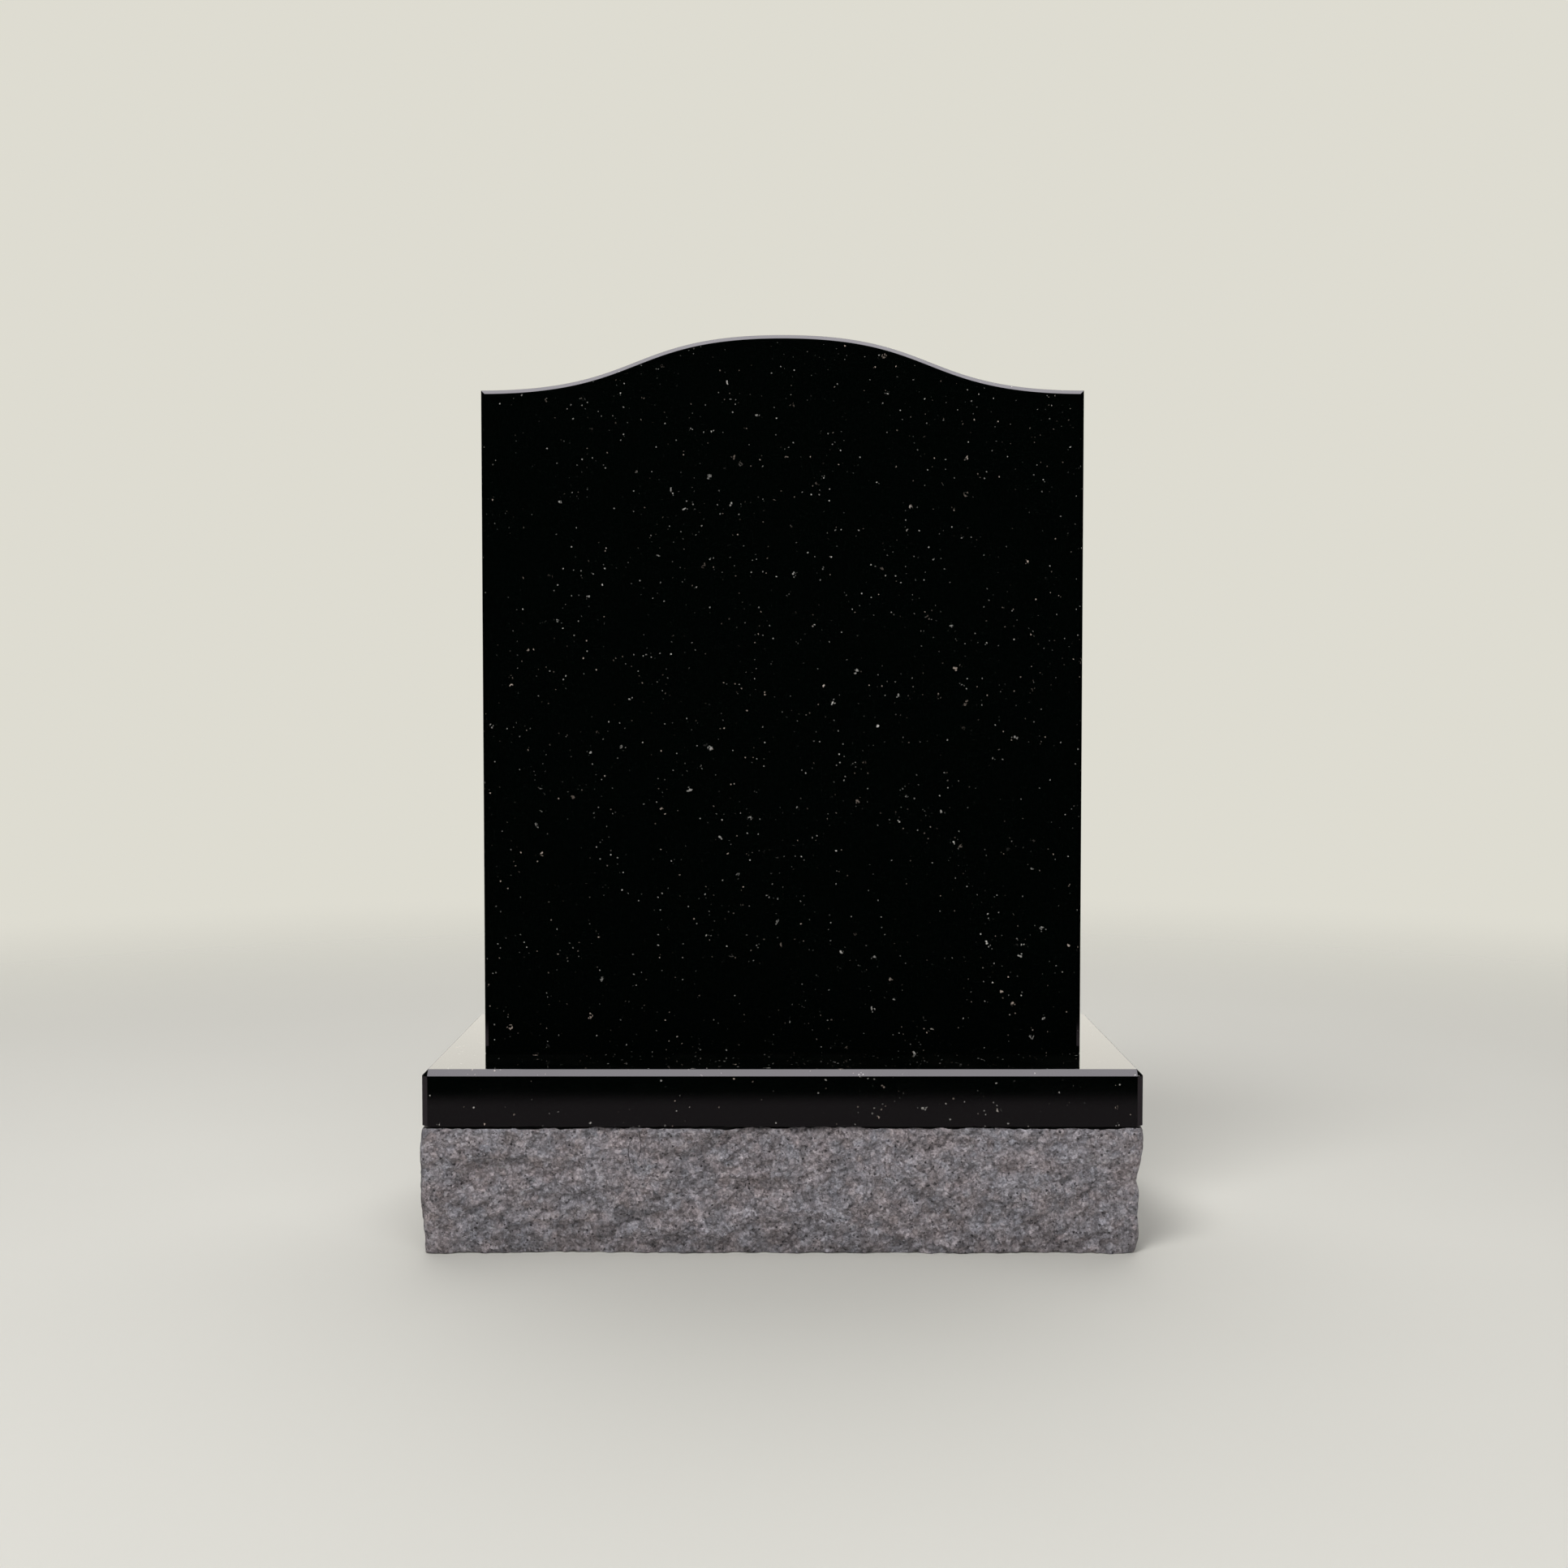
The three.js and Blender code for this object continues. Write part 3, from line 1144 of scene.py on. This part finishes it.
@dataclass
class PolishedSlab:
    """The slab under the tablet, with chamfered top edges and upright corners.

    Args:
        width: Its length across the grave.
        depth: From front to back.
        height: Its thickness.
        chamfer: The 45 degree chamfer.
        rubbed: How far the polish has rubbed the edges down.
        level: Faces that turn by less than this many degrees are one face.
        finish: The stone.
    """

    width: float = 0.700
    depth: float = 0.340
    height: float = 0.055
    chamfer: float = 0.006
    rubbed: float = 0.0005
    level: float = 1.0
    finish: StoneFinish = PolishedBlackGranite(
        "polished_black_slab",
        shift_mm=(517.0, 1340.0, -890.0),
        flecks=(
            Flecks(6.2, 0.8, share=0.6, fade=1.2, broken=0.0, warm_above=0.6),
            Flecks(15.0, 2.1, share=0.36, fade=1.0, broken=0.53, warm_above=0.55),
        ),
    )

    def build(self, foot: float) -> None:
        """Makes the slab.

        Args:
            foot: The height that it lies at.
        """
        x, y, c = self.width / 2, self.depth / 2, self.chamfer
        form = bmesh.new()
        for sx, sy in product((-1, 1), repeat=2):
            form.verts.new((sx * (x - c), sy * (y - c), foot + self.height))
            for z in (foot, foot + self.height - c):
                form.verts.new((sx * x, sy * (y - c), z))
                form.verts.new((sx * (x - c), sy * y, z))
        bmesh.ops.convex_hull(form, input=form.verts)
        whole = {"verts": form.verts, "edges": form.edges}
        bmesh.ops.dissolve_limit(form, angle_limit=radians(self.level), **whole)
        mesh = bpy.data.meshes.new("slab")
        form.to_mesh(mesh)
        form.free()
        piece = linked("slab", mesh)
        ease_edges(piece, self.rubbed)
        settle(piece, "polished_slab", self.finish)


@dataclass
class PitchedFooting:
    """The grey footing: sawn flat above and below, and broken off roughly on its four sides.

    Args:
        width: The slab's width, which it lies flush with.
        depth: The slab's depth.
        height: From the ground to the slab.
        margin_mm: How far the mean rough face stands inside the slab's sides.
        corner_mm: The radius of the broken corners.
        bulge_mm: How far the rough face stands out where it is fullest.
        bulge_level_mm: How high that is.
        barrel_mm: How far it would fall away from there over the whole height.
        limit_mm: No point stands out further than this.
        limit_ease_mm: Points this near the limit are already held back a little.
        edge_calm: The share of the broad relief that is left at the sawn top and at the ground.
        end_calm: The share of the fine relief that is left at the ends.
        bevel_mm: The height of the chipped band under the sawn top.
        bevel_rows: Where in that band the mesh has rows.
        bevel_curve: How late in that band the chips reach their depth.
        chip_mm: How far the chips bite in there.
        chip_mean: The mean share of that depth.
        joint_mm: The mean height of the open joint under the slab.
        rake_mm: How deep that joint is.
        lift_mm: The mean height of the gap that the rough foot leaves above the ground.
        tuck_mm: How deep that gap is.
        gaps_mm: The least and the greatest height of both.
        ledge_mm: The height over which the stone steps out beside them.
        lean_mm: How far the foot of the right-hand side is set back.
        step_mm: The spacing of the mesh.
        crisp_over: Edges that turn by more than this many degrees stay crisp.
        broad: The large splits, the same as the solid's.
        swells: The lumps on them, the same as the solid's.
        chips: Long and short chips along the top.
        nibbles: What makes the joint and the gap uneven.
        fine: Small splits and lumps that only this mesh has.
        marks: The small pits and the steps that show on the front.
        finish: The stone.
        joint_shade_finish: The near-black on the joint's faces, painted shade under the slab.
    """

    width: float = 0.700
    depth: float = 0.340
    height: float = 0.125
    margin_mm: float = 1.0
    corner_mm: float = 9.0
    bulge_mm: float = 2.5
    bulge_level_mm: float = 90.0
    barrel_mm: float = 13.0
    limit_mm: float = 4.0
    limit_ease_mm: float = 2.0
    edge_calm: float = 0.7
    end_calm: float = 0.3
    bevel_mm: float = 5.0
    bevel_rows: Span = (0.2, 0.34)
    bevel_curve: float = 1.5
    chip_mm: float = 5.5
    chip_mean: float = 0.5
    joint_mm: float = 1.7
    rake_mm: float = 5.0
    lift_mm: float = 0.7
    tuck_mm: float = 2.5
    gaps_mm: Span = (0.15, 3.2)
    ledge_mm: float = 0.12
    lean_mm: float = 2.2
    step_mm: float = 1.75
    crisp_over: float = 60.0
    broad: Facets = Facets(
        92.0, 58.0, slope=0.11, offset_mm=2.2, lean=0.8, sharpness=14.0, seed=28364
    )
    swells: Lumps = Lumps(26.0, 1.6, seed=1)
    chips: tuple[Lumps, ...] = (Lumps(60.0, 0.5, seed=2), Lumps(17.0, 0.35, seed=3))
    nibbles: tuple[Lumps, ...] = (
        Lumps(46.0, 0.55, seed=5),
        Lumps(14.0, 0.5, seed=6),
        Lumps(5.0, 0.4, seed=7),
    )
    fine: tuple[Relief, ...] = (
        Facets(24.0, 22.0, slope=0.15, offset_mm=0.5, lean=0.8, sharpness=22.0, seed=911),
        Facets(9.0, 8.0, slope=0.3, offset_mm=0.3, lean=0.5, sharpness=24.0, seed=377),
        Lumps(13.0, 0.4, seed=41),
        Lumps(5.0, 0.4, seed=42),
    )
    marks: tuple[Relief, ...] = (
        Crease((-106.0, 69.0), (-54.0, 95.0), 1.3, 12.0),
        Crease((-62.0, 90.0), (-20.0, 119.0), 2.1, 16.0),
        Crease((-161.0, 30.0), (-104.0, 46.0), 1.8, 12.0),
        Crease((-41.0, 54.0), (-14.0, 73.0), 1.6, 10.0),
        Crease((-4.0, 8.0), (22.0, 36.0), 1.9, 12.0),
        Crease((112.0, 27.0), (138.0, 41.0), 1.4, 12.0),
        Crease((160.0, 60.0), (188.0, 91.0), 1.3, 12.0),
        Crease((-322.0, 28.0), (-292.0, 50.0), 1.9, 12.0),
        Crease((-110.0, 14.0), (-86.0, 29.0), 1.6, 10.0),
        Crease((-262.0, 88.0), (-240.0, 122.0), 1.1, 12.0),
        Crease((-210.0, 52.0), (-186.0, 74.0), 1.1, 10.0),
        Hollow((-152.0, 113.0), 5.0, 2.4),
        Hollow((-34.0, 84.0), 5.0, 1.6),
        Hollow((-312.0, 58.0), 7.0, 1.6),
        Hollow((-150.0, 40.0), 7.0, 1.8),
        Hollow((255.0, 14.0), 7.0, 1.8),
        Hollow((-190.0, 22.0), 7.0, 2.0),
        Hollow((14.0, 20.0), 6.0, 1.6),
    )
    finish: StoneFinish = RockPitchedGranite("rock_pitched_granite")
    joint_shade_finish: StoneFinish = PaintedJointShade("painted_joint_shade")

    def plan(self) -> tuple[np.ndarray, np.ndarray]:
        """Points round the mean rough face, anticlockwise from above.

        Returns:
            The points and the directions that look straight out there, in millimetres.
        """
        radius = self.corner_mm
        core = np.array([self.width / 2, self.depth / 2]) / MM - self.margin_mm - radius
        bends = max(2, round(radius * pi / 2 / self.step_mm))
        points, outward = [], []
        for turn, (sx, sy) in enumerate(((1, 1), (-1, 1), (-1, -1), (1, -1))):
            centre = core * (sx, sy)
            for angle in np.linspace(turn * pi / 2, (turn + 1) * pi / 2, bends, endpoint=False):
                outward.append((cos(angle), sin(angle)))
                points.append(centre + radius * np.array(outward[-1]))
            side = 2 * core[turn % 2]
            normal = np.array((cos((turn + 1) * pi / 2), sin((turn + 1) * pi / 2)))
            ahead = np.array((-normal[1], normal[0]))
            start = centre + radius * normal
            for gone in np.linspace(0, side, round(side / self.step_mm), endpoint=False):
                points.append(start + gone * ahead)
                outward.append(tuple(normal))
        return np.array(points), np.array(outward)

    def relief(self, at: Points) -> np.ndarray:
        """How far the rough face stands out from its mean.

        Args:
            at: Where each point is across, back and up, in millimetres.

        Returns:
            One distance for each point, in millimetres.
        """
        x, y, z = at
        height = self.height / MM
        swell = self.bulge_mm - self.barrel_mm * ((z - self.bulge_level_mm) / height) ** 2
        calm = self.edge_calm + (1 - self.edge_calm) * np.sin(pi * z / height)
        lumps = self.swells.relief(at)
        out = swell + calm * (self.broad.relief(at) + lumps)
        inward = self.width / MM / 2 - self.corner_mm - np.abs(x)
        core = np.maximum(rising(inward, start=0.0, over=20.0), self.end_calm)
        out = out + core * sum(form.relief(at) for form in self.fine)
        beyond, beneath = rising(x, start=320.0, over=20.0), rising(-z, start=-64.0, over=30.0)
        out = out - self.lean_mm * beyond * beneath
        front = rising(-y - self.depth / MM / 2, start=-4.0, over=2.0)
        shaken = (x + 2 * lumps, y, z - 2 * lumps)
        out = out + front * sum(mark.relief(shaken) for mark in self.marks)
        bite = self.chip_mean + sum(
            chips.relief((x, y, np.full_like(z, chips.size_mm / 2))) for chips in self.chips
        )
        band = np.clip((z - height) / self.bevel_mm + 1, 0, 1) ** self.bevel_curve
        ease = self.limit_ease_mm
        over = np.clip(out - self.limit_mm + ease, 0, 2 * ease)
        held_back = np.minimum(out, self.limit_mm + ease) - over * over / (4 * ease)
        return held_back - self.chip_mm * np.clip(bite, 0, 1) * band

    def uneven(self, points: np.ndarray, mean: float, level: float) -> np.ndarray:
        """The height of a gap at each point round the stone, in millimetres.

        Args:
            points: The points, from above.
            mean: The gap's mean height.
            level: Where the gap is, so that two gaps aren't alike.

        Returns:
            One height for each point.
        """
        x, y = points.T
        uneven = sum(form.relief((x, y, np.full_like(x, level))) for form in self.nibbles)
        return np.clip(mean * (1 + uneven), *self.gaps_mm)

    def levels(self, points: np.ndarray) -> tuple[np.ndarray, np.ndarray]:
        """The heights of the mesh's rows, and how far each is tucked in to leave the two gaps.

        Args:
            points: The points round the stone, from above.

        Returns:
            Both as one row of numbers for each row of the mesh, in millimetres.
        """
        height = self.height / MM
        rough_top = height - self.bevel_mm
        even = np.linspace(0, rough_top, round(rough_top / self.step_mm) + 1)[2:]
        even = [*even, *(rough_top + self.bevel_mm * share for share in self.bevel_rows)]
        lift = self.uneven(points, self.lift_mm, level=3.0)
        joint = height - self.uneven(points, self.joint_mm, level=71.0)
        foot = [0 * lift, lift, lift + self.ledge_mm]
        rows = [np.full_like(lift, level) for level in even]
        top = [joint, joint + self.ledge_mm, np.full_like(lift, height)]
        tucks = [self.tuck_mm] * 2 + [0.0] * (len(rows) + 2) + [self.rake_mm] * 2
        return np.stack(foot + rows + top), np.repeat(np.array(tucks)[:, None], len(points), axis=1)

    def build(self) -> None:
        """Makes the footing on the ground."""
        points, outward = self.plan()
        z, tucked = self.levels(points)
        x, y = (np.tile(side, (len(z), 1)) for side in points.T)
        out = self.relief((x, y, z)) - tucked
        corners = np.stack([x + out * outward[:, 0], y + out * outward[:, 1], z], -1) * MM
        count = len(points)
        ring = np.arange(count)
        after = np.roll(ring, -1)
        strip = np.stack([ring, after, count + after, count + ring], 1)
        last = (len(z) - 1) * count
        faces = np.vstack([strip + start for start in range(0, last, count)]).tolist()
        faces.append(ring[::-1].tolist())
        faces.append((last + ring).tolist())
        piece = stone_object("footing", corners.reshape(-1, 3).tolist(), faces, self.crisp_over)
        settle(piece, "rock_pitched_footing", self.finish)
        # The faces of the raked joint get the near-black painted shade.
        piece.data.materials.append(self.joint_shade_finish.material())
        for face in piece.data.polygons[last - 2 * count : last]:
            face.material_index = 1


class Softbox(Enum):
    """The studio's lamps, by what they do."""

    KEY = "key"
    FILL = "fill"
    SWEEP = "sweep"


@dataclass
class Studio:
    """A pale floor that fades into a pale room, soft lamps and the photograph's camera.

    Args:
        camera_at: Where the camera stands.
        camera_pitch: How far it is tipped up from looking straight down, in degrees.
        lens_mm: Its focal length.
        sensor_mm: The width of its sensor.
        paper: The floor's colour.
        paper_dark: The share of its light that its mottles keep.
        paper_dull: Its roughness.
        rose: The tinge that the polish gives it.
        reach: How far the floor reaches each way.
        seen_aside: How much a distance to the side counts in how far the polish sees it.
        room: What the camera sees behind the floor.
        warm: The colour of the panels round the stone.
        cool: The colour of the ceiling.
        aim_at: What the lamps are turned to.
        lamps: Each softbox's place, size in metres and power in watts.
        zenith: How bright the polish sees the ceiling.
        backdrop: How bright it sees the room low behind the stone.
        strips: How bright it sees the upright softboxes beside the camera.
        below: How bright it sees the floor far away.
        dark: How bright it sees everything else.
    """

    camera_at: Place = (0.0015, -1.9896, 0.5338)
    camera_pitch: float = 87.602
    lens_mm: float = 43.49
    sensor_mm: float = 36.0
    paper: Colour = (0.66, 0.65, 0.60)
    paper_dark: float = 0.97
    paper_dull: float = 0.85
    rose: Colour = (0.76, 0.62, 0.68)
    reach: float = 3.6
    seen_aside: float = 0.6
    room: Colour = (0.73, 0.715, 0.64)
    warm: Colour = (1.0, 0.965, 0.875)
    cool: Colour = (0.98, 0.935, 1.0)
    aim_at: Place = (0.0, 0.0, 0.35)
    lamps: dict[Softbox, tuple[Place, float, float]] = field(
        default_factory=lambda: {
            Softbox.KEY: ((-0.9, -1.9, 3.2), 1.5, 76.0),
            Softbox.FILL: ((1.3, -3.0, 1.5), 2.4, 37.0),
            Softbox.SWEEP: ((0.0, 2.2, 5.0), 5.0, 185.0),
        }
    )
    zenith: float = 3.95
    backdrop: float = 1.63
    strips: float = 0.7
    below: float = 0.3
    dark: float = 0.001

    def camera(self) -> None:
        """Sets the camera up."""
        lens = bpy.data.cameras.new("camera")
        lens.lens = self.lens_mm
        lens.sensor_width = self.sensor_mm
        camera = linked("camera", lens)
        camera.location = self.camera_at
        camera.rotation_euler = (radians(self.camera_pitch), 0, 0)
        bpy.context.scene.camera = camera

    def floor(self) -> None:
        """Lays the pale floor. Polished stone sees only the part of it that lies round the foot."""
        mesh = bpy.data.meshes.new("floor")
        far = self.reach
        corners = [(-far, -far, 0), (far, -far, 0), (far, far, 0), (-far, far, 0)]
        mesh.from_pydata(corners, [], [(0, 1, 2, 3)])
        floor = linked("floor", mesh)
        material = bpy.data.materials.new("pale_paper")
        material.use_nodes = True
        wiring = Wiring(material.node_tree)
        place = wiring.node("ShaderNodeTexCoord").outputs["Object"]
        far_off = wiring.measure("LENGTH", place)
        wide = wiring.ramp(far_off, start=1.0, end=3.4, low=1.0, high=0.0)
        sides = wiring.axes(wiring.vector_sum("ABSOLUTE", place, place))
        near = wiring.sum("MAXIMUM", wiring.product(sides["X"], self.seen_aside), sides["Y"])
        flank = wiring.ramp(sides["X"], start=0.6, end=0.95, low=0.2, high=0.32)
        narrow = wiring.ramp(near, start=0.845, end=0.95, low=flank, high=0.0)
        glossy = wiring.node("ShaderNodeLightPath").outputs["Is Glossy Ray"]
        share = wiring.product(glossy, wiring.sum("SUBTRACT", narrow, wide))
        darker = tuple(self.paper_dark * channel for channel in self.paper)
        mottle = CLOUDS.place(wiring, Place=place, Size=0.9, Detail=2.0, Start=0.2, End=0.8)
        colour = wiring.blend(mottle["Mask"], darker, self.paper)
        look = {
            "Base Color": wiring.blend(glossy, colour, self.rose),
            "Roughness": self.paper_dull,
            "Alpha": wiring.sum("ADD", wide, share),
        }
        shader = wiring.node("ShaderNodeBsdfPrincipled", look)
        wiring.node("ShaderNodeOutputMaterial", {"Surface": shader.outputs[0]})
        mesh.materials.append(material)

    def room_light(self) -> None:
        """Paints the room: pale for the camera, and dark with bright panels for the polish."""
        world = bpy.data.worlds.new("room")
        bpy.context.scene.world = world
        world.use_nodes = True
        world.cycles_visibility.diffuse = False
        wiring = Wiring(world.node_tree)
        toward = wiring.axes(wiring.node("ShaderNodeTexCoord").outputs["Generated"])
        above = wiring.ramp(toward["Z"], start=0.80, end=0.93, high=self.zenith)
        behind = wiring.ramp(toward["Y"], start=0.5, end=0.8, high=self.backdrop)
        low = wiring.window(toward["Z"], rise=(0.03, 0.08), fall=(0.4, 0.7))
        ahead = wiring.sum("MAXIMUM", wiring.sum("ABSOLUTE", toward["Y"]), NEARLY_NONE)
        aside = wiring.sum("DIVIDE", wiring.sum("ABSOLUTE", toward["X"]), ahead)
        strip = wiring.window(aside, rise=(0.75, 0.9), fall=(1.25, 1.45))
        tall = wiring.window(toward["Z"], rise=(-0.12, -0.06), fall=(0.55, 0.68))
        boxes = wiring.product(strip, tall, self.strips)
        under = wiring.ramp(toward["Z"], start=-0.5, end=-0.25, low=self.below, high=0.0)
        lit = wiring.sum("ADD", wiring.product(behind, low), boxes)
        glow = wiring.sum("ADD", lit, wiring.sum("ADD", under, self.dark))
        panels = ((self.warm, glow), (self.cool, above), (self.room, 1.0))
        warm, cool, plain = (
            wiring.node("ShaderNodeBackground", {"Color": rgba(tint), "Strength": power}).outputs[0]
            for tint, power in panels
        )
        polish = wiring.node("ShaderNodeAddShader", {0: warm, 1: cool}).outputs[0]
        seen = wiring.node("ShaderNodeLightPath").outputs["Is Camera Ray"]
        mix = wiring.node("ShaderNodeMixShader", {0: seen, 1: polish, 2: plain})
        wiring.node("ShaderNodeOutputWorld", {"Surface": mix.outputs[0]})

    def hang_lamps(self) -> None:
        """Hangs the softboxes, turned to the middle of the stone and kept out of the polish."""
        for name, (at, size, power) in self.lamps.items():
            lamp = bpy.data.lights.new(name.value, "AREA")
            lamp.shape = "DISK"
            lamp.size = size
            lamp.energy = power
            box = linked(name.value, lamp)
            box.location = at
            aim = -(box.location - Vector(self.aim_at))
            box.rotation_euler = aim.to_track_quat("-Z", "Y").to_euler()
            box.visible_glossy = False
            box.visible_camera = False

    def build(self) -> None:
        """Sets the whole studio up."""
        self.camera()
        self.floor()
        self.room_light()
        self.hang_lamps()
        bpy.context.scene.view_settings.view_transform = "Standard"
        LOG.info("studio: %d lamps", len(self.lamps))


def main() -> None:
    """Builds the headstone and its studio."""
    logging.basicConfig(level=logging.INFO, format="%(name)s: %(message)s")
    Studio().build()
    PitchedFooting().build()
    PolishedSlab().build(foot=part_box("polished_slab")[0].z)
    SerpentineTablet().build(foot=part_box("serpentine_tablet")[0].z)


if __name__ == "__main__":
    main()
